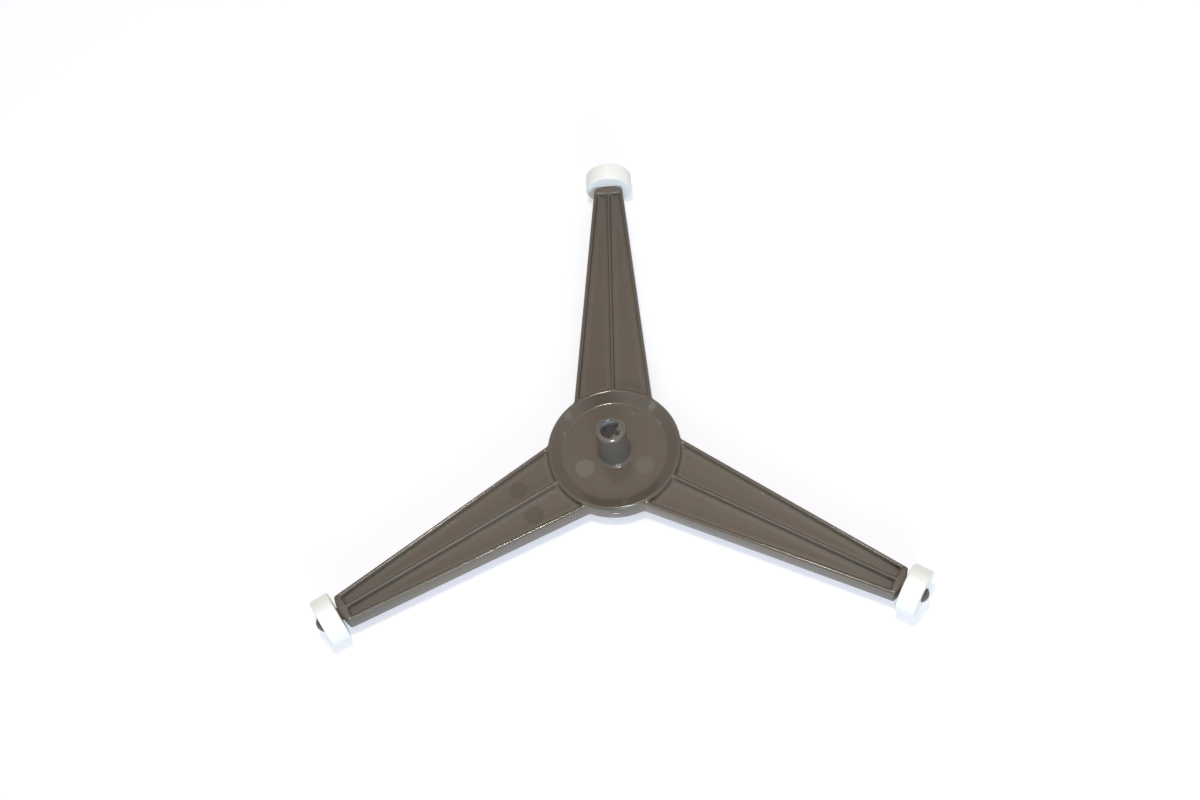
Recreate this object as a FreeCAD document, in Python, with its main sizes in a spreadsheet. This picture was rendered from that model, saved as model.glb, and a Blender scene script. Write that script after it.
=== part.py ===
import FreeCAD, Part
import math
import os
import re
import Sketcher

# Microwave turntable roller spider: one ribbed moulding with three arms, and a free roller on each arm's axle.
# The origin is the centre of the drive socket's floor, level with the floor of the hub's dish.
# +Z points up the drive boss. +X lies along the first arm, which the socket's flat faces.

# Driving sizes in millimetres
SIZES = {
    # Section of the moulding: a web with ribs above and below it
    "web_thickness": 2.4,
    "rib_height": 2.25,
    "skirt_depth": 2.65,
    "edge_rib": 1.4,
    "mid_rib": 1.25,
    "edge_break": 0.4,
    # Hub with its dish and rounded rim
    "hub_radius": 23.9,
    "hub_rim": 1.5,
    "rim_rise": 0.25,
    "dish_radius": 19.1,
    "dish_round": 1.2,
    "hub_corner": 1.8,
    # Arms: the root width is the width at the hub's radius
    "arm_root_width": 27.3,
    "arm_tip_width": 10.8,
    "arm_reach": 110.7,
    "tip_crown": 1.1,
    "tip_wall": 2.1,
    "tip_corner": 0.9,
    "pocket_corner": 0.6,
    # Drive boss and its D-shaped socket
    "boss_height": 17.65,
    "boss_foot_radius": 5.8,
    "boss_top_radius": 5.2,
    "boss_foot_round": 1.0,
    "boss_lip": 0.4,
    "socket_radius": 3.55,
    "socket_flat": 1.8,
    "socket_slot": 2.0,
    # Axle stubs with their snap heads
    "axle_radius": 2.4,
    "head_lip": 0.3,
    "head_height": 1.4,
    # Rollers and their running room
    "roller_radius": 8.7,
    "roller_width": 6.9,
    "roller_bevel": 0.4,
    "axle_clearance": 0.08,
    "roller_gap": 0.4,
    # Ejector pin marks in the floors of the dish and the arms
    "mark_radius": 3.3,
    "mark_depth": 0.08,
    "dish_mark_reach": 12.3,
    "arm_mark_reach": 36.7,
    "arm_mark_spread": 5.7,
    # Scar of the mould's gate on the hub's side, between the last arm and the first
    "gate_width": 3.7,
    "gate_height": 0.5,
    "gate_proud": 0.15,
    "gate_drop": 0.5,
}
ARM_COUNT = 3
FULL_TURN = 360.0
TOLERANCE = 1e-4

# Formulas that several features share
BASE_LEVEL = "-(web_thickness + skirt_depth)"
BODY_HEIGHT = "rib_height + web_thickness + skirt_depth"
RIM_START = "(hub_radius - hub_rim)"
AXLE_LEVEL = "-web_thickness / 2"
ARM_TAPER = "(arm_root_width - arm_tip_width) / 2 / (arm_reach - hub_radius)"
TIP_APEX = "arm_reach + tip_crown"
POCKET_END = "arm_reach - tip_wall"
ROLLER_START = f"{TIP_APEX} + roller_gap"
ROLLER_END = f"{ROLLER_START} + roller_width"
HEAD_START = f"{ROLLER_END} + roller_gap"
HEAD_RADIUS = "(axle_radius + head_lip)"
BORE_RADIUS = "(axle_radius + axle_clearance)"
SOCKET_CORNER = "sqrt(socket_radius ^ 2 - socket_flat ^ 2)"
SLOT_END = "sqrt(socket_radius ^ 2 - socket_slot ^ 2 / 4)"
EDGE_BREAK = "min(edge_break; edge_rib / 3; mid_rib / 3; hub_rim / 3)"

# Sketcher's numbers for the axes, the points of an edge and the origin
HORIZONTAL_AXIS, VERTICAL_AXIS = -1, -2
START, END, CENTRE = 1, 2, 3
ORIGIN = (HORIZONTAL_AXIS, START)


def cells(text):
    """Point the size names in a formula at the sheet's cells."""
    return re.sub(r"\b(" + "|".join(SIZES) + r")\b", r"Sizes.\1", text)


def value(text):
    """The present value of a formula."""
    return float(sheet.evalExpression(cells(text)))


def arm_half_width(reach):
    """Formula of the arm's half width at a reach along its axis."""
    return f"(arm_root_width / 2 - ({reach} - hub_radius) * {ARM_TAPER})"


def origin_feature(body, role):
    """One of the body's own origin planes or axes."""
    return next(item for item in body.Origin.OriginFeatures if item.Role == role)


def upright_turn(angle):
    """Rotation about the vertical, in degrees."""
    return FreeCAD.Rotation(FreeCAD.Vector(0, 0, 1), angle)


def new_sketch(body, name, plane, shift_axis="z", shift="0", turn=0):
    """A sketch on one of the body's origin planes, turned in it and moved by a formula along an axis."""
    sketch = body.newObject("Sketcher::SketchObject", name)
    sketch.AttachmentSupport = [(origin_feature(body, plane), "")]
    sketch.MapMode = "FlatFace"
    sketch.AttachmentOffset = FreeCAD.Placement(FreeCAD.Vector(), upright_turn(turn))
    sketch.setExpression(f"AttachmentOffset.Base.{shift_axis}", cells(shift))
    return sketch


def tie(sketch, constraint, text):
    """Add a constraint whose value follows a formula."""
    index = sketch.addConstraint(constraint)
    sketch.setExpression(f"Constraints[{index}]", cells(text))


def tie_point(sketch, point, x, y):
    """Hold a sketch point at its formulas for x and y, measured from the sketch's origin."""
    for kind, axis, text in (("DistanceX", VERTICAL_AXIS, x), ("DistanceY", HORIZONTAL_AXIS, y)):
        distance = value(text)
        if abs(distance) < TOLERANCE:
            sketch.addConstraint(Sketcher.Constraint("PointOnObject", *point, axis))
        elif distance > 0:
            tie(sketch, Sketcher.Constraint(kind, *ORIGIN, *point, distance), text)
        else:
            tie(sketch, Sketcher.Constraint(kind, *point, *ORIGIN, -distance), f"-({text})")


def draw_outline(sketch, corners):
    """Draw a closed outline.

    A corner is its formulas for x and y. One that starts an arc also has the formulas of a point that the
    arc passes and of its radius.
    """
    points = [FreeCAD.Vector(value(corner[0]), value(corner[1]), 0) for corner in corners]
    ends = []
    for index, corner in enumerate(corners):
        start = points[index]
        finish = points[(index + 1) % len(points)]
        if len(corner) == 2:
            edge = sketch.addGeometry(Part.LineSegment(start, finish), False)
        else:
            passed = FreeCAD.Vector(value(corner[2]), value(corner[3]), 0)
            edge = sketch.addGeometry(Part.Arc(start, passed, finish), False)
            tie(sketch, Sketcher.Constraint("Radius", edge, value(corner[4])), corner[4])
        turned = (sketch.getPoint(edge, START) - start).Length > TOLERANCE
        ends.append((edge, END, START) if turned else (edge, START, END))
    for index, (edge, first, last) in enumerate(ends):
        next_edge, next_first, next_last = ends[(index + 1) % len(ends)]
        sketch.addConstraint(Sketcher.Constraint("Coincident", edge, last, next_edge, next_first))
        tie_point(sketch, (edge, first), *corners[index][:2])


def draw_circle(sketch, x, y, radius):
    """Draw a circle whose centre and radius follow formulas."""
    centre = FreeCAD.Vector(value(x), value(y), 0)
    edge = sketch.addGeometry(Part.Circle(centre, FreeCAD.Vector(0, 0, 1), value(radius)), False)
    tie(sketch, Sketcher.Constraint("Radius", edge, value(radius)), radius)
    tie_point(sketch, (edge, CENTRE), x, y)


def finish_feature(body, feature):
    """Make a feature the body's tip and work it out."""
    body.Tip = feature
    doc.recompute()
    return feature


def pad(body, name, sketch, length):
    """Raise a sketch into a solid along its normal."""
    feature = body.newObject("PartDesign::Pad", name)
    feature.Profile = sketch
    feature.setExpression("Length", cells(length))
    return finish_feature(body, feature)


def pocket(body, name, sketch, depth, upward=False):
    """Cut a sketch into the solid, down from the sketch unless it is said to go up."""
    before = body.Shape.Volume
    feature = body.newObject("PartDesign::Pocket", name)
    feature.Profile = sketch
    feature.Reversed = upward
    feature.setExpression("Length", cells(depth))
    finish_feature(body, feature)
    if body.Shape.Volume > before - TOLERANCE:
        raise RuntimeError(f"{name} cuts nothing")
    return feature


def revolve(body, kind, name, sketch, axis):
    """Turn a sketch fully round one of its own axes, adding a Revolution or cutting a Groove."""
    feature = body.newObject(f"PartDesign::{kind}", name)
    feature.Profile = sketch
    feature.ReferenceAxis = (sketch, [axis])
    feature.Angle = FULL_TURN
    return finish_feature(body, feature)


def repeat_on_arms(body, name, originals):
    """Repeat features round the hub, once for each arm."""
    feature = body.newObject("PartDesign::PolarPattern", name)
    feature.Originals = originals
    feature.Axis = (origin_feature(body, "Z_Axis"), [""])
    feature.Angle = FULL_TURN
    feature.Occurrences = ARM_COUNT
    return finish_feature(body, feature)


def dress_edges(body, kind, name, wanted, size):
    """Fillet or chamfer every edge of the body's tip that a test picks."""
    base = body.Tip
    edges = [f"Edge{number}" for number, edge in enumerate(base.Shape.Edges, start=1) if wanted(edge)]
    feature = body.newObject(f"PartDesign::{kind}", name)
    feature.Base = (base, edges)
    feature.setExpression("Radius" if kind == "Fillet" else "Size", cells(size))
    return finish_feature(body, feature)


def spans(edge, low, high):
    """Whether an edge reaches from one level to another, straight up."""
    box = edge.BoundBox
    upright = box.XLength < TOLERANCE and box.YLength < TOLERANCE
    return upright and abs(box.ZMin - low) < TOLERANCE and abs(box.ZMax - high) < TOLERANCE


def lies_at(item, level):
    """Whether an edge or a face lies flat at a level."""
    box = item.BoundBox
    return abs(box.ZMin - level) < TOLERANCE and abs(box.ZMax - level) < TOLERANCE


def outer_edges(shape, level):
    """The edges round the outside of the largest flat face at a level."""
    faces = [face for face in shape.Faces if lies_at(face, level)]
    return max(faces, key=lambda face: face.Area).OuterWire.Edges


def axis_distance(edge):
    """How far the farthest end of an edge is from the hub's axis."""
    return max(math.hypot(vertex.X, vertex.Y) for vertex in edge.Vertexes)


def build_arms(body):
    """The ribbed arms with their axles, run in to the hub's axis and repeated round it."""
    outline = new_sketch(body, "ArmOutline", "XY_Plane", "z", BASE_LEVEL)
    root = arm_half_width("0")
    tip = "arm_tip_width / 2"
    crown_radius = "(arm_tip_width ^ 2 / 4 + tip_crown ^ 2) / (2 * tip_crown)"
    draw_outline(outline, [
        ("0", f"-{root}"),
        ("arm_reach", f"-{tip}", TIP_APEX, "0", crown_radius),
        ("arm_reach", tip),
        ("0", root),
    ])
    arm = pad(body, "Arm", outline, BODY_HEIGHT)

    features = [arm]
    for name, level, depth, upward in (
        ("ArmPockets", "rib_height", "rib_height", False),
        ("ArmUnderPockets", BASE_LEVEL, "skirt_depth", True),
    ):
        sketch = new_sketch(body, f"{name}Outline", "XY_Plane", "z", level)
        inner = "hub_radius / 2"
        for side in ("", "-"):
            draw_outline(sketch, [
                (inner, f"{side}mid_rib / 2"),
                (POCKET_END, f"{side}mid_rib / 2"),
                (POCKET_END, f"{side}({arm_half_width(POCKET_END)} - edge_rib)"),
                (inner, f"{side}({arm_half_width(inner)} - edge_rib)"),
            ])
        features.append(pocket(body, name, sketch, depth, upward))

    section = new_sketch(body, "AxleSection", "XZ_Plane", "y", AXLE_LEVEL)
    axle_root = "arm_reach - tip_wall / 2"
    head_end = f"{HEAD_START} + head_height"
    dome_radius = f"({HEAD_RADIUS} ^ 2 + head_height ^ 2) / (2 * head_height)"
    halfway = f"sqrt(({dome_radius}) ^ 2 - {HEAD_RADIUS} ^ 2 / 4)"
    draw_outline(section, [
        (axle_root, "0"),
        (axle_root, "axle_radius"),
        (HEAD_START, "axle_radius"),
        (HEAD_START, HEAD_RADIUS, f"{head_end} - {dome_radius} + {halfway}", f"{HEAD_RADIUS} / 2", dome_radius),
        (head_end, "0"),
    ])
    features.append(revolve(body, "Revolution", "Axle", section, "H_Axis"))
    repeat_on_arms(body, "Arms", features)


def build_hub(body):
    """The hub disc over the arms' roots, dished above and recessed below."""
    disc = new_sketch(body, "HubOutline", "XY_Plane", "z", BASE_LEVEL)
    draw_circle(disc, "0", "0", "hub_radius")
    pad(body, "Hub", disc, BODY_HEIGHT)

    top = value("rib_height")
    base = value(BASE_LEVEL)
    hub = value("hub_radius")
    near_hub = hub + value("hub_rim")
    dress_edges(body, "Fillet", "HubCorners",
                lambda edge: spans(edge, base, top) and axis_distance(edge) < near_hub, "hub_corner")
    dress_edges(body, "Fillet", "TipCorners",
                lambda edge: spans(edge, base, top) and axis_distance(edge) > near_hub, "tip_corner")

    dish = new_sketch(body, "DishSection", "XZ_Plane")
    draw_outline(dish, [
        ("0", "0"),
        ("dish_radius", "0"),
        (RIM_START, "rib_height"),
        ("0", "rib_height"),
    ])
    revolve(body, "Groove", "Dish", dish, "V_Axis")

    recess = new_sketch(body, "UnderRecessOutline", "XY_Plane", "z", BASE_LEVEL)
    draw_circle(recess, "0", "0", RIM_START)
    pocket(body, "UnderRecess", recess, "skirt_depth", upward=True)


def build_boss(body):
    """The drive boss with its blind D-shaped socket, whose flat is split by a slot."""
    section = new_sketch(body, "BossSection", "XZ_Plane")
    draw_outline(section, [
        ("0", "0"),
        ("boss_foot_radius", "0"),
        ("boss_top_radius", "boss_height"),
        ("0", "boss_height"),
    ])
    revolve(body, "Revolution", "Boss", section, "V_Axis")

    foot = value("boss_foot_radius")
    dish = value("dish_radius")
    height = value("boss_height")
    for name, radius, size in (("BossFoot", foot, "boss_foot_round"), ("DishFoot", dish, "dish_round")):
        dress_edges(body, "Fillet", name,
                    lambda edge: lies_at(edge, 0) and abs(axis_distance(edge) - radius) < TOLERANCE, size)
    dress_edges(body, "Chamfer", "BossLip", lambda edge: lies_at(edge, height), "boss_lip")

    socket = new_sketch(body, "SocketOutline", "XY_Plane", "z", "boss_height")
    draw_outline(socket, [
        ("socket_flat", SOCKET_CORNER, "-socket_radius", "0", "socket_radius"),
        ("socket_flat", f"-{SOCKET_CORNER}"),
        ("socket_flat", "-socket_slot / 2"),
        (SLOT_END, "-socket_slot / 2", "socket_radius", "0", "socket_radius"),
        (SLOT_END, "socket_slot / 2"),
        ("socket_flat", "socket_slot / 2"),
    ])
    pocket(body, "Socket", socket, "boss_height")


def build_marks(body):
    """Shallow round marks left by the mould's ejector pins."""
    sketch = new_sketch(body, "MarkOutline", "XY_Plane")
    draw_circle(sketch, "dish_mark_reach", "0", "mark_radius")
    draw_circle(sketch, "arm_mark_reach", "arm_mark_spread", "mark_radius")
    draw_circle(sketch, "arm_mark_reach", "-arm_mark_spread", "mark_radius")
    marks = pocket(body, "Marks", sketch, "mark_depth")
    repeat_on_arms(body, "ArmMarks", [marks])


def build_gate(body):
    """The low scar where the mould's gate was cut off the hub's side."""
    between_arms = -FULL_TURN / ARM_COUNT / 2
    scar = new_sketch(body, "GateOutline", "XY_Plane", "z", "-(gate_drop + gate_height / 2)", between_arms)
    inner = "hub_radius - hub_rim / 2"
    outer = "hub_radius + gate_proud"
    draw_outline(scar, [
        (inner, "-gate_width / 2"),
        (outer, "-gate_width / 2"),
        (outer, "gate_width / 2"),
        (inner, "gate_width / 2"),
    ])
    pad(body, "Gate", scar, "gate_height")


def build_edges(body):
    """Round the corners of the pockets, break the edges of the ribs and of the foot, and crown the rim."""
    top = value("rib_height")
    rim = value(RIM_START)
    web = value("-web_thickness")
    base = value(BASE_LEVEL)
    dress_edges(body, "Fillet", "PocketCorners",
                lambda edge: spans(edge, 0, top) or spans(edge, base, web), "pocket_corner")
    dress_edges(body, "Chamfer", "RibTops",
                lambda edge: lies_at(edge, top) and axis_distance(edge) > rim + TOLERANCE, EDGE_BREAK)
    outline = outer_edges(body.Tip.Shape, base)
    dress_edges(body, "Chamfer", "OutlineFoot",
                lambda edge: any(edge.isSame(other) for other in outline), EDGE_BREAK)

    crown = new_sketch(body, "RimSection", "XZ_Plane")
    third = f"(hub_rim - {EDGE_BREAK}) / 3"
    draw_outline(crown, [
        (RIM_START, "rib_height"),
        (f"{RIM_START} + {third}", "rib_height + rim_rise"),
        (f"{RIM_START} + {third} * 2", "rib_height + rim_rise"),
        (f"{RIM_START} + {third} * 3", "rib_height"),
    ])
    revolve(body, "Revolution", "RimCrown", crown, "V_Axis")


def build_spider():
    """The one-piece moulding."""
    body = doc.addObject("PartDesign::Body", "Spider")
    body.Label = "spider"
    build_arms(body)
    build_hub(body)
    build_boss(body)
    build_marks(body)
    build_gate(body)
    build_edges(body)
    return body


def build_roller(number):
    """One roller on its axle: a ring with bevelled edges and a bore that runs on the axle."""
    body = doc.addObject("PartDesign::Body", f"Roller{number}")
    body.Label = f"roller_{number}"
    section = new_sketch(body, f"RollerSection{number}", "XZ_Plane", "y", AXLE_LEVEL)
    draw_outline(section, [
        (ROLLER_START, BORE_RADIUS),
        (ROLLER_END, BORE_RADIUS),
        (ROLLER_END, "roller_radius - roller_bevel"),
        (f"{ROLLER_END} - roller_bevel", "roller_radius"),
        (f"{ROLLER_START} + roller_bevel", "roller_radius"),
        (ROLLER_START, "roller_radius - roller_bevel"),
    ])
    revolve(body, "Revolution", f"RollerBody{number}", section, "H_Axis")
    body.Placement = FreeCAD.Placement(FreeCAD.Vector(), upright_turn(FULL_TURN / ARM_COUNT * (number - 1)))
    return body


doc = FreeCAD.newDocument("RollerSpider")
sheet = doc.addObject("Spreadsheet::Sheet", "Sizes")
for row, (alias, size) in enumerate(SIZES.items(), start=1):
    sheet.set(f"A{row}", alias)
    sheet.set(f"B{row}", str(size))
    sheet.setAlias(f"B{row}", alias)
doc.recompute()

parts = [build_spider()] + [build_roller(number) for number in range(1, ARM_COUNT + 1)]
doc.recompute()

for item in doc.Objects:
    if "Invalid" in item.State or "Error" in item.State:
        raise RuntimeError(f"{item.Name} failed: {item.State}")
for body in parts:
    if body.Shape.isNull() or not body.Shape.isValid() or len(body.Shape.Solids) != 1:
        raise RuntimeError(f"{body.Label} isn't one valid solid")

os.makedirs("parts", exist_ok=True)
for body in parts:
    body.Shape.exportStep(f"parts/{body.Label}.step")
    print(body.Label, round(body.Shape.Volume, 2), "mm3")
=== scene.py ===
import math

import bpy
from mathutils import Matrix, Vector


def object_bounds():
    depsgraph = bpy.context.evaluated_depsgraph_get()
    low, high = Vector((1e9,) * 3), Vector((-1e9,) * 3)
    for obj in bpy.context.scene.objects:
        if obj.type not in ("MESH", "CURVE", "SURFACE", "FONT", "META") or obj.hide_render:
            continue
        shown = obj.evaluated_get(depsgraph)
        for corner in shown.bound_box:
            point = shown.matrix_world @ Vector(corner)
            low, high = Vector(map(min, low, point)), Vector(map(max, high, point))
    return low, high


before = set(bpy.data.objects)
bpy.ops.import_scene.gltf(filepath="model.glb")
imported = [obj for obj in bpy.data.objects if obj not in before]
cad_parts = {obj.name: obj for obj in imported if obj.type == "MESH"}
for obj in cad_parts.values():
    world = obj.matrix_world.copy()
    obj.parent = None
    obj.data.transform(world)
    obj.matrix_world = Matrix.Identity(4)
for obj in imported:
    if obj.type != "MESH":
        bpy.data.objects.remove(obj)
cad_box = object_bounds()

# Sizes of the moulding that its finish follows, in metres
MM = 0.001
ARM_COUNT = 3
RIB_TOP = 2.25 * MM
MARK_RADIUS = 3.3 * MM
MARK_FLOOR = -0.08 * MM
HUB_MIDDLE = Vector()
DISH_RADIUS = 19.1 * MM
DISH_MARK_REACH = 12.3 * MM
ARM_MARK_REACH = 36.7 * MM
ARM_MARK_SPREAD = 5.7 * MM
BOSS_RADIUS = 6.2 * MM
SOCKET_RADIUS = 3.55 * MM
BOSS_TOP = 17.65 * MM
HUB_RADIUS = 23.95 * MM
GATE_REACH = 24.0 * MM
GATE_PLACE = Vector((12.0, -20.8, -0.5)) * MM
GATE_SIZE = 2.2 * MM

# The photograph's frame in pixels, and the camera fitted to it
FRAME_WIDTH = 1200
FRAME_HEIGHT = 800
FOCAL_PIXELS = 1685.3
SENSOR_WIDTH = 36.0
CLIP_START = 10 * MM
VIEW_AZIMUTH = math.radians(39.564)
VIEW_ELEVATION = math.radians(62.437)
VIEW_ROLL = math.radians(-11.852)
HUB_PIXEL = (614.07, 448.22)
HUB_DEPTH = 599.46 * MM

# Light of the surroundings by elevation in degrees, where 1 shows a colour as it is written
SKY = (
    (0, (0.46, 0.46, 0.45)),
    (12, (0.46, 0.46, 0.45)),
    (20, (0.25, 0.29, 0.30)),
    (61, (0.27, 0.31, 0.33)),
    (67, (1.1, 0.98, 0.83)),
)

# Lamps: azimuth and elevation in degrees, distance and size in metres, power in watts, and colour
LAMPS = {
    "key": (219, 89, 0.95, 0.065, 4.2, (1, 0.95, 0.87)),
    "front": (42, 20, 1.0, 0.38, 6.2, (0.67, 0.85, 1)),
}

# Table: width in metres, colour for the light that it throws back, and lit and glowing part as it is seen
TABLE_WIDTH = 6.0
TABLE_BOUNCE = (0.6, 0.6, 0.6, 1)
TABLE_LIT = (0.52, 0.50, 0.43, 1)
TABLE_GLOW = (0.53, 0.55, 0.65, 1)

# Edges: how close points are joined, the angle that stays sharp, and the rounding in the shader
WELD_DISTANCE = 0.001 * MM
SHARP_ANGLE = math.radians(50)
EDGE_ROUND = 0.45 * MM
BEVEL_SAMPLES = 16

# Distance from the level of the floors over which the rounding of the spider's edges sets in
ROUNDING_START = (0.2 * MM, 0.8 * MM)

# Colours of the spider, from the plain plastic to the layers over it
BROWN_RED = (0.131, 0.099, 0.080, 1)
BROWN_GREEN = (0.120, 0.102, 0.082, 1)
MARK_PALE = (0.24, 0.22, 0.175, 1)
MARK_DARK = (0.04, 0.03, 0.02, 1)
# Pale of the flow blotches in the dish, also used for the painted highlights along its fillet
BLOTCH_AND_HIGHLIGHT_PALE = (0.26, 0.26, 0.24, 1)
TIP_DARK = (0.05, 0.055, 0.05, 1)
# Painted light: paler colour that lightens the walls' shade in their corners
PAINTED_CORNER_LIGHT = (0.34, 0.27, 0.21, 1)
# Painted light: paler grey on the boss in place of the light that falls on its sides
BOSS_PAINTED_LIGHT = (0.25, 0.255, 0.255, 1)
# Painted highlight: near white on the gate scar in place of the light caught by its ledge
GATE_HIGHLIGHT_WHITE = (0.85, 0.85, 0.84, 1)
# Painted light: paler colour inside the socket over the shade in it
SOCKET_PAINTED_LIGHT = (0.6, 0.59, 0.6, 1)

# How much of a layer's colour shows: darker in the dish, darker at the tips, painted light on the boss,
# and painted light that lightens the shade in the walls' corners
DISH_SHARE = 0.1
TIP_SHARE = 0.2
BOSS_LIGHT_SHARE = 0.16
PAINTED_CORNER_LIGHT_SHARE = 0.9

# Where these layers go over into the plain plastic
DISH_EDGE = 0.6 * MM
BOSS_EDGE = 0.3 * MM
SOCKET_EDGE = 0.05 * MM
SOCKET_LIGHT_DEPTH = 1 * MM
TIP_SPAN = (70 * MM, 112 * MM)

# Flow clouds and grain of the spider: feature sizes, the span of the noise used, and the grain's depth
CLOUD_SIZE = 7 * MM
CLOUD_SPAN = (0.3, 0.7)
GRAIN_SIZE = 0.35 * MM
GRAIN_DEPTH = 0.0015 * MM

# Corners of the walls: reach and samples of the openness, its span, and how steep a face gets the painted
# light that lightens the corners' shade
CORNER_REACH = 1.5 * MM
CORNER_SAMPLES = 4
CORNER_OPENNESS = (0.52, 0.74)
PAINTED_CORNER_LIGHT_FACING = (0.3, 0.8)

# Roughness of the spider's satin, and what corners, tips and the floors and ribs of the arms add to it
SATIN_SIZE = 1.2 * MM
SATIN_DETAIL = 3
SATIN_ROUGHNESS = (0.11, 0.17)
CORNER_DULLNESS = 0.25
TIP_DULLNESS = 0.15
ARM_DULLNESS = 0.22

# Where the arms are duller: outside the hub, beside the ribs and on the middle rib, from its middle line
ARM_START = (HUB_RADIUS, HUB_RADIUS + 1 * MM)
RIBSIDE_REACH = 3 * MM
RIBSIDE_SAMPLES = 16
RIBSIDE_OPENNESS = (0.8, 0.98)
MIDDLE_RIB_EDGE = (0.8 * MM, 1.2 * MM)

# White plastic of the rollers
ROLLER_WHITE = (0.93, 0.925, 0.915, 1)
ROLLER_WHITER = (0.95, 0.945, 0.935, 1)
ROLLER_CLOUD_SIZE = 3 * MM
ROLLER_SATIN_SIZE = 0.8 * MM
ROLLER_ROUGHNESS = (0.3, 0.42)
ROLLER_GRAIN_SIZE = 0.3 * MM
ROLLER_GRAIN_DEPTH = 0.006 * MM
PLASTIC_IOR = 1.5

# Tone of each ejector pin mark, arm by arm as in mark_places: lighter than its floor, or darker below 0
MARK_TONES = ((0.2, 0.03, -0.05), (0.0, 0.03, -0.03), (0.35, -0.3, -0.3))

# Heights over which a mark's tone ends, how far it spills over the mark's edge, and the softness there
MARK_HEIGHTS = (MARK_FLOOR + 0.1 * MM, MARK_FLOOR + 0.4 * MM)
MARK_SPILL = 0.15 * MM
MARK_EDGE = 0.35 * MM

# Pale blotches and a speck in the dish, and painted highlights along its fillet, in millimetres: reach,
# angle in degrees, height, size, strength
BLOTCHES_AND_HIGHLIGHTS = (
    (21.8, 79.0, 1.8, 2.2, 0.4),
    (20.6, 80.0, 1.0, 2.0, 0.3),
    (21.8, 169.0, 1.8, 2.6, 0.28),
    # The five spots low on the fillet, at 19.4 and 19.6 mm, are painted highlights: light reflected along
    # the fillet
    (19.6, 185.0, 0.3, 0.8, 0.35),
    (19.6, 188.0, 0.3, 0.8, 0.35),
    (19.4, 59.5, 0.2, 0.8, 0.3),
    (19.4, 62.5, 0.2, 0.8, 0.35),
    (19.4, 65.5, 0.2, 0.8, 0.3),
    (16.0, 95.0, 0.0, 0.6, 0.6),
)


def direction(azimuth, elevation):
    """Unit vector towards a place in the sky, both angles in radians, azimuth 0 being the -Y side."""
    level = math.cos(elevation)
    return Vector((math.sin(azimuth) * level, -math.cos(azimuth) * level, math.sin(elevation)))


def add_camera():
    """Camera that puts the hub on its pixel, at the photograph's angle and roll."""
    back = direction(VIEW_AZIMUTH, VIEW_ELEVATION)
    level_right = Vector((math.cos(VIEW_AZIMUTH), math.sin(VIEW_AZIMUTH), 0))
    level_up = back.cross(level_right)
    right = level_right * math.cos(VIEW_ROLL) + level_up * math.sin(VIEW_ROLL)
    up = level_up * math.cos(VIEW_ROLL) - level_right * math.sin(VIEW_ROLL)
    across = (HUB_PIXEL[0] - FRAME_WIDTH / 2) * HUB_DEPTH / FOCAL_PIXELS
    down = (HUB_PIXEL[1] - FRAME_HEIGHT / 2) * HUB_DEPTH / FOCAL_PIXELS
    place = Vector((0, 0, RIB_TOP)) + back * HUB_DEPTH - right * across + up * down
    data = bpy.data.cameras.new("camera")
    data.sensor_width = SENSOR_WIDTH
    data.lens = FOCAL_PIXELS / FRAME_WIDTH * SENSOR_WIDTH
    data.clip_start = CLIP_START
    camera = bpy.data.objects.new("camera", data)
    bpy.context.scene.collection.objects.link(camera)
    turn = Matrix((right, up, back)).transposed().to_4x4()
    camera.matrix_world = Matrix.Translation(place) @ turn
    bpy.context.scene.camera = camera


def add_lamp(name, azimuth, elevation, distance, size, power, colour):
    """Square soft lamp that faces the hub."""
    data = bpy.data.lights.new(name, "AREA")
    data.size = size
    data.energy = power
    data.color = colour
    lamp = bpy.data.objects.new(name, data)
    bpy.context.scene.collection.objects.link(lamp)
    back = direction(math.radians(azimuth), math.radians(elevation))
    lamp.location = back * distance
    lamp.rotation_euler = back.to_track_quat("Z", "Y").to_euler()


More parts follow.
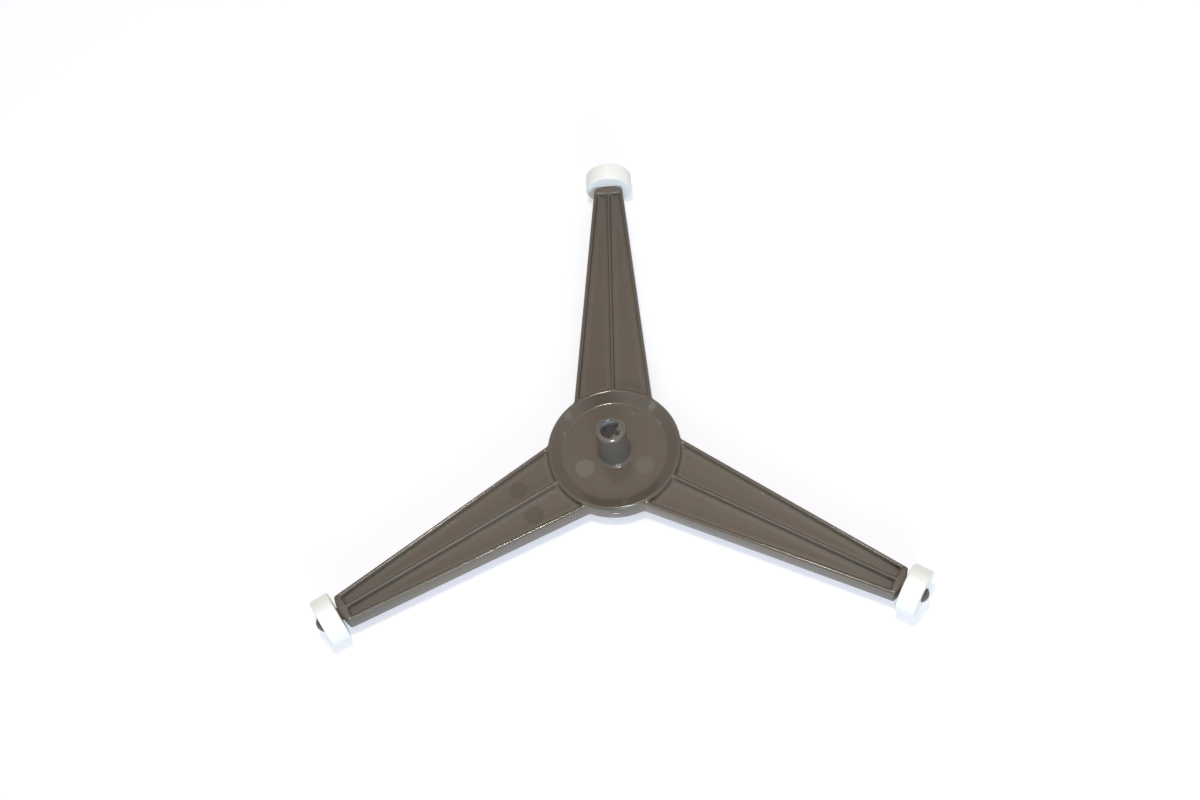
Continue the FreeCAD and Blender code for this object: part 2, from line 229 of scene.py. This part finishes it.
class Shader:
    """Builds the nodes of one material."""

    def __init__(self, name):
        self.material = bpy.data.materials.new(name)
        self.material.use_nodes = True
        self.tree = self.material.node_tree
        self.tree.nodes.clear()
        self.output = self.add("ShaderNodeOutputMaterial")
        self.coordinates = self.add("ShaderNodeTexCoord").outputs["Object"]

    def add(self, kind, inputs=None, **settings):
        """A node with its settings made and its inputs set or linked."""
        node = self.tree.nodes.new(kind)
        for key, setting in settings.items():
            setattr(node, key, setting)
        for key, given in (inputs or {}).items():
            self.fill(node.inputs[key], given)
        return node

    def fill(self, socket, given):
        """Link an output to an input, or set the input's own value."""
        if isinstance(given, bpy.types.NodeSocket):
            self.tree.links.new(given, socket)
        else:
            socket.default_value = given

    def calc(self, operation, first, second=0.0):
        """One step of arithmetic."""
        return self.add("ShaderNodeMath", {0: first, 1: second}, operation=operation).outputs[0]

    def times(self, first, second):
        """Product of two values."""
        return self.calc("MULTIPLY", first, second)

    def measure(self, operation, first, second):
        """One step of vector arithmetic that gives a single value."""
        node = self.add("ShaderNodeVectorMath", {0: first, 1: second}, operation=operation)
        return node.outputs["Value"]

    def height(self, vector):
        """Upward part of a vector."""
        return self.add("ShaderNodeSeparateXYZ", {0: vector}).outputs["Z"]

    def flat(self):
        """The coordinates without their height."""
        inputs = {0: self.coordinates, 1: (1, 1, 0)}
        return self.add("ShaderNodeVectorMath", inputs, operation="MULTIPLY").outputs["Vector"]

    def ramp(self, given, low, high, start=0.0, end=1.0):
        """A value carried smoothly from one span to another."""
        inputs = {"Value": given, "From Min": low, "From Max": high, "To Min": start, "To Max": end}
        return self.add("ShaderNodeMapRange", inputs, interpolation_type="SMOOTHSTEP").outputs["Result"]

    def noise(self, feature, detail=2):
        """Noise from 0 to 1 with features of a size in metres."""
        inputs = {"Vector": self.coordinates, "Scale": 1 / feature, "Detail": detail}
        return self.add("ShaderNodeTexNoise", inputs).outputs["Fac"]

    def openness(self, reach, samples):
        """How open a place is to the air within a reach, 1 on a plain face and less in a corner."""
        inputs = {"Distance": reach}
        node = self.add("ShaderNodeAmbientOcclusion", inputs, samples=samples, only_local=True)
        return node.outputs["AO"]

    def mix(self, factor, first, second):
        """One colour going over into another."""
        node = self.add("ShaderNodeMix", data_type="RGBA")
        self.fill(node.inputs["Factor"], factor)
        self.fill(node.inputs["A"], first)
        self.fill(node.inputs["B"], second)
        return node.outputs["Result"]

    def bump(self, height, depth, rounding=EDGE_ROUND):
        """Surface normal of a height from 0 to 1 over rounded edges, as deep as the depth in metres."""
        rounded = self.add("ShaderNodeBevel", {"Radius": rounding}, samples=BEVEL_SAMPLES)
        inputs = {"Height": height, "Distance": depth, "Normal": rounded.outputs["Normal"]}
        return self.add("ShaderNodeBump", inputs).outputs["Normal"]

    def spot(self, middle, radius):
        """Mask of a soft round spot, 1 in the middle and 0 from the radius on."""
        far = self.measure("DISTANCE", self.coordinates, middle)
        return self.ramp(far, 0, radius, 1, 0)

    def disc(self, middle, radius, edge):
        """Mask of an upright round column, 1 inside and 0 outside, with a soft edge."""
        far = self.measure("DISTANCE", self.flat(), middle)
        return self.ramp(far, radius - edge, radius + edge, 1, 0)

    def plastic(self, colour, roughness, normal):
        """Make the material a plastic with these looks."""
        surface = self.add("ShaderNodeBsdfPrincipled", {
            "Base Color": colour, "Roughness": roughness, "Normal": normal, "IOR": PLASTIC_IOR,
        })
        self.fill(self.output.inputs["Surface"], surface.outputs[0])


def mark_places(arm):
    """Middles of the three ejector pin marks of an arm: the dish's own, then the pair on the arm."""
    turn = Matrix.Rotation(2 * math.pi * arm / ARM_COUNT, 3, "Z")
    dish = Vector((DISH_MARK_REACH, 0, 0))
    left = Vector((ARM_MARK_REACH, ARM_MARK_SPREAD, 0))
    right = Vector((ARM_MARK_REACH, -ARM_MARK_SPREAD, 0))
    return [turn @ place for place in (dish, left, right)]


def mark_tones(shader, height):
    """How much lighter the ejector pins left each mark than the floor around it, and how much darker."""
    floor = shader.ramp(height, *MARK_HEIGHTS, 1, 0)
    lighter = 0.0
    darker = 0.0
    for arm, tones in enumerate(MARK_TONES):
        for place, tone in zip(mark_places(arm), tones):
            mask = shader.disc(place, MARK_RADIUS + MARK_SPILL, MARK_EDGE)
            if tone > 0:
                lighter = shader.calc("ADD", shader.times(mask, tone), lighter)
            if tone < 0:
                darker = shader.calc("ADD", shader.times(mask, -tone), darker)
    return shader.times(lighter, floor), shader.times(darker, floor)


def blotch_and_highlight_tone(shader):
    """How pale the plastic's flow left the blotches in the dish, with the painted highlights along its
    fillet.
    """
    pale = 0.0
    for reach, angle, height, size, strength in BLOTCHES_AND_HIGHLIGHTS:
        turn = math.radians(angle)
        middle = Vector((reach * math.cos(turn), reach * math.sin(turn), height)) * MM
        spot_mask = shader.spot(middle, size * MM)
        pale = shader.calc("ADD", shader.times(spot_mask, strength), pale)
    return pale


def corner_light_tone(shader, corner):
    """Painted light: how much paler the walls are painted in their corners, over the shade there."""
    normal = shader.add("ShaderNodeNewGeometry").outputs["True Normal"]
    steep = shader.ramp(shader.height(normal), *PAINTED_CORNER_LIGHT_FACING, PAINTED_CORNER_LIGHT_SHARE, 0)
    return shader.times(corner, steep)


def gate_highlight_mask(shader, reach):
    """Mask of the scar that stands out of the hub's side, painted near white as its highlight."""
    proud = shader.ramp(reach, HUB_RADIUS, GATE_REACH)
    return shader.times(shader.spot(GATE_PLACE, GATE_SIZE), proud)


def socket_light_mask(shader, height):
    """Mask of painted light in the socket in the boss, paler colour over its shade, which grows from its
    mouth down.
    """
    inside = shader.disc(HUB_MIDDLE, SOCKET_RADIUS, SOCKET_EDGE)
    deep = shader.ramp(height, BOSS_TOP, BOSS_TOP - SOCKET_LIGHT_DEPTH)
    return shader.times(inside, deep)


def middle_ribs(shader):
    """Mask of the rib along the middle of each arm."""
    nearest = HUB_RADIUS
    for arm in range(ARM_COUNT):
        turn = 2 * math.pi * arm / ARM_COUNT
        side = (-math.sin(turn), math.cos(turn), 0)
        across = shader.measure("DOT_PRODUCT", shader.coordinates, side)
        nearest = shader.calc("MINIMUM", shader.calc("ABSOLUTE", across), nearest)
    return shader.ramp(nearest, *MIDDLE_RIB_EDGE, 1, 0)


def spider_colour(shader, height, reach, tip, corner):
    """Brown with flow clouds, and over it the marks, pale blotches with painted highlights, painted light
    in the corners and on the boss, the gate scar's painted highlight, the socket's painted light and
    other layers in turn.
    """
    lighter, darker = mark_tones(shader, height)
    dish = shader.disc(HUB_MIDDLE, DISH_RADIUS, DISH_EDGE)
    boss = shader.disc(HUB_MIDDLE, BOSS_RADIUS, BOSS_EDGE)
    layers = (
        (lighter, MARK_PALE),
        (darker, MARK_DARK),
        (shader.times(dish, DISH_SHARE), MARK_DARK),
        # pale flow blotches, and painted highlights along the dish's fillet
        (blotch_and_highlight_tone(shader), BLOTCH_AND_HIGHLIGHT_PALE),
        (shader.times(tip, TIP_SHARE), TIP_DARK),
        # painted light: the walls are painted paler where they lie in shade in the corners
        (corner_light_tone(shader, corner), PAINTED_CORNER_LIGHT),
        # painted light: the boss is painted paler grey in place of the light on its sides
        (shader.times(boss, BOSS_LIGHT_SHARE), BOSS_PAINTED_LIGHT),
        # painted highlight on the gate scar
        (gate_highlight_mask(shader, reach), GATE_HIGHLIGHT_WHITE),
        # painted light inside the socket, over its shade
        (socket_light_mask(shader, height), SOCKET_PAINTED_LIGHT),
    )
    cloud = shader.ramp(shader.noise(CLOUD_SIZE), *CLOUD_SPAN)
    colour = shader.mix(cloud, BROWN_RED, BROWN_GREEN)
    for mask, tint in layers:
        colour = shader.mix(mask, colour, tint)
    return colour


def spider_roughness(shader, reach, tip, corner):
    """Satin that is duller in corners, towards the tips, and on and beside the ribs of the arms."""
    beside = shader.ramp(shader.openness(RIBSIDE_REACH, RIBSIDE_SAMPLES), *RIBSIDE_OPENNESS, 1, 0)
    ribs = shader.calc("MAXIMUM", beside, middle_ribs(shader))
    on_arms = shader.ramp(reach, *ARM_START, 0, ARM_DULLNESS)
    roughness = shader.ramp(shader.noise(SATIN_SIZE, SATIN_DETAIL), 0, 1, *SATIN_ROUGHNESS)
    for mask, more in ((corner, CORNER_DULLNESS), (tip, TIP_DULLNESS), (ribs, on_arms)):
        roughness = shader.calc("ADD", roughness, shader.times(mask, more))
    return roughness


def spider_plastic():
    """Satin brown moulded plastic with a fine spark-eroded grain."""
    shader = Shader("spider_plastic")
    height = shader.height(shader.coordinates)
    reach = shader.measure("LENGTH", shader.flat(), HUB_MIDDLE)
    tip = shader.ramp(reach, *TIP_SPAN)
    corner = shader.ramp(shader.openness(CORNER_REACH, CORNER_SAMPLES), *CORNER_OPENNESS, 1, 0)
    colour = spider_colour(shader, height, reach, tip, corner)
    roughness = spider_roughness(shader, reach, tip, corner)
    rounding = shader.ramp(shader.calc("ABSOLUTE", height), *ROUNDING_START, 0, EDGE_ROUND)
    normal = shader.bump(shader.noise(GRAIN_SIZE), GRAIN_DEPTH, rounding)
    shader.plastic(colour, roughness, normal)
    return shader.material


def roller_plastic():
    """White slippery plastic with a faint grain."""
    shader = Shader("roller_plastic")
    colour = shader.mix(shader.noise(ROLLER_CLOUD_SIZE), ROLLER_WHITE, ROLLER_WHITER)
    roughness = shader.ramp(shader.noise(ROLLER_SATIN_SIZE), 0, 1, *ROLLER_ROUGHNESS)
    normal = shader.bump(shader.noise(ROLLER_GRAIN_SIZE), ROLLER_GRAIN_DEPTH)
    shader.plastic(colour, roughness, normal)
    return shader.material


def seen_directly(shader):
    """1 for rays that show the background itself, in the picture, in a gloss or through glass."""
    path = shader.add("ShaderNodeLightPath")
    seen = path.outputs["Is Camera Ray"]
    for kind in ("Is Glossy Ray", "Is Transmission Ray"):
        seen = shader.calc("MAXIMUM", seen, path.outputs[kind])
    return seen


def add_world():
    """Pale surroundings: a bright band round the horizon, a dim room and a warm ceiling."""
    world = bpy.data.worlds.new("world")
    bpy.context.scene.world = world
    world.use_nodes = True
    tree = world.node_tree
    split = tree.nodes.new("ShaderNodeSeparateXYZ")
    tree.links.new(tree.nodes.new("ShaderNodeTexCoord").outputs["Generated"], split.inputs[0])
    ramp = tree.nodes.new("ShaderNodeValToRGB")
    ramp.color_ramp.interpolation = "EASE"
    stops = ramp.color_ramp.elements
    while len(stops) < len(SKY):
        stops.new(1.0)
    for stop, (elevation, colour) in zip(stops, SKY):
        stop.position = math.sin(math.radians(elevation))
        stop.color = (*colour, 1)
    tree.links.new(split.outputs["Z"], ramp.inputs[0])
    tree.links.new(ramp.outputs["Color"], tree.nodes["Background"].inputs["Color"])


def add_floor():
    """White table under the rollers, which keeps the object's soft shadow."""
    mesh = bpy.data.meshes.new("floor")
    half = TABLE_WIDTH / 2
    level = cad_box[0].z
    corners = [(x, y, level) for x, y in ((-half, -half), (half, -half), (half, half), (-half, half))]
    mesh.from_pydata(corners, [], [(0, 1, 2, 3)])
    floor = bpy.data.objects.new("floor", mesh)
    bpy.context.scene.collection.objects.link(floor)
    shader = Shader("floor")
    bounce = shader.add("ShaderNodeBsdfDiffuse", {"Color": TABLE_BOUNCE})
    lit = shader.add("ShaderNodeBsdfDiffuse", {"Color": TABLE_LIT})
    glow = shader.add("ShaderNodeEmission", {"Color": TABLE_GLOW})
    shown = shader.add("ShaderNodeAddShader", {0: lit.outputs[0], 1: glow.outputs[0]})
    both = shader.add("ShaderNodeMixShader", {
        0: seen_directly(shader), 1: bounce.outputs[0], 2: shown.outputs[0],
    })
    shader.fill(shader.output.inputs["Surface"], both.outputs[0])
    floor.data.materials.append(shader.material)


def soften_group():
    """Node group that joins the faces of a moulding and shades its small edge breaks as rounds."""
    group = bpy.data.node_groups.new("soften", "GeometryNodeTree")
    group.interface.new_socket("Geometry", in_out="INPUT", socket_type="NodeSocketGeometry")
    group.interface.new_socket("Geometry", in_out="OUTPUT", socket_type="NodeSocketGeometry")
    start = group.nodes.new("NodeGroupInput")
    finish = group.nodes.new("NodeGroupOutput")
    weld = group.nodes.new("GeometryNodeMergeByDistance")
    weld.inputs["Distance"].default_value = WELD_DISTANCE
    smooth = group.nodes.new("GeometryNodeSetShadeSmooth")
    crease = group.nodes.new("GeometryNodeSetShadeSmooth")
    crease.domain = "EDGE"
    crease.inputs["Shade Smooth"].default_value = False
    angle = group.nodes.new("GeometryNodeInputMeshEdgeAngle")
    sharp = group.nodes.new("FunctionNodeCompare")
    sharp.operation = "GREATER_THAN"
    sharp.inputs["B"].default_value = SHARP_ANGLE
    group.links.new(angle.outputs["Unsigned Angle"], sharp.inputs["A"])
    group.links.new(sharp.outputs[0], crease.inputs["Selection"])
    chain = (start, weld, smooth, crease, finish)
    for first, second in zip(chain, chain[1:]):
        group.links.new(first.outputs["Geometry"], second.inputs["Geometry"])
    return group


def dress(node, material, group):
    """Give a CAD node its material and soft edges."""
    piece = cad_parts[node]
    piece.data.materials.clear()
    piece.data.materials.append(material)
    piece.modifiers.new("soften", "NODES").node_group = group
    normals = piece.modifiers.new("normals", "WEIGHTED_NORMAL")
    normals.keep_sharp = True


scene = bpy.context.scene
scene.view_settings.view_transform = "Standard"
add_camera()
add_world()
add_floor()
for lamp_name, settings in LAMPS.items():
    add_lamp(lamp_name, *settings)

soften = soften_group()
dress("spider", spider_plastic(), soften)
white = roller_plastic()
for number in range(1, ARM_COUNT + 1):
    dress(f"roller_{number}", white, soften)
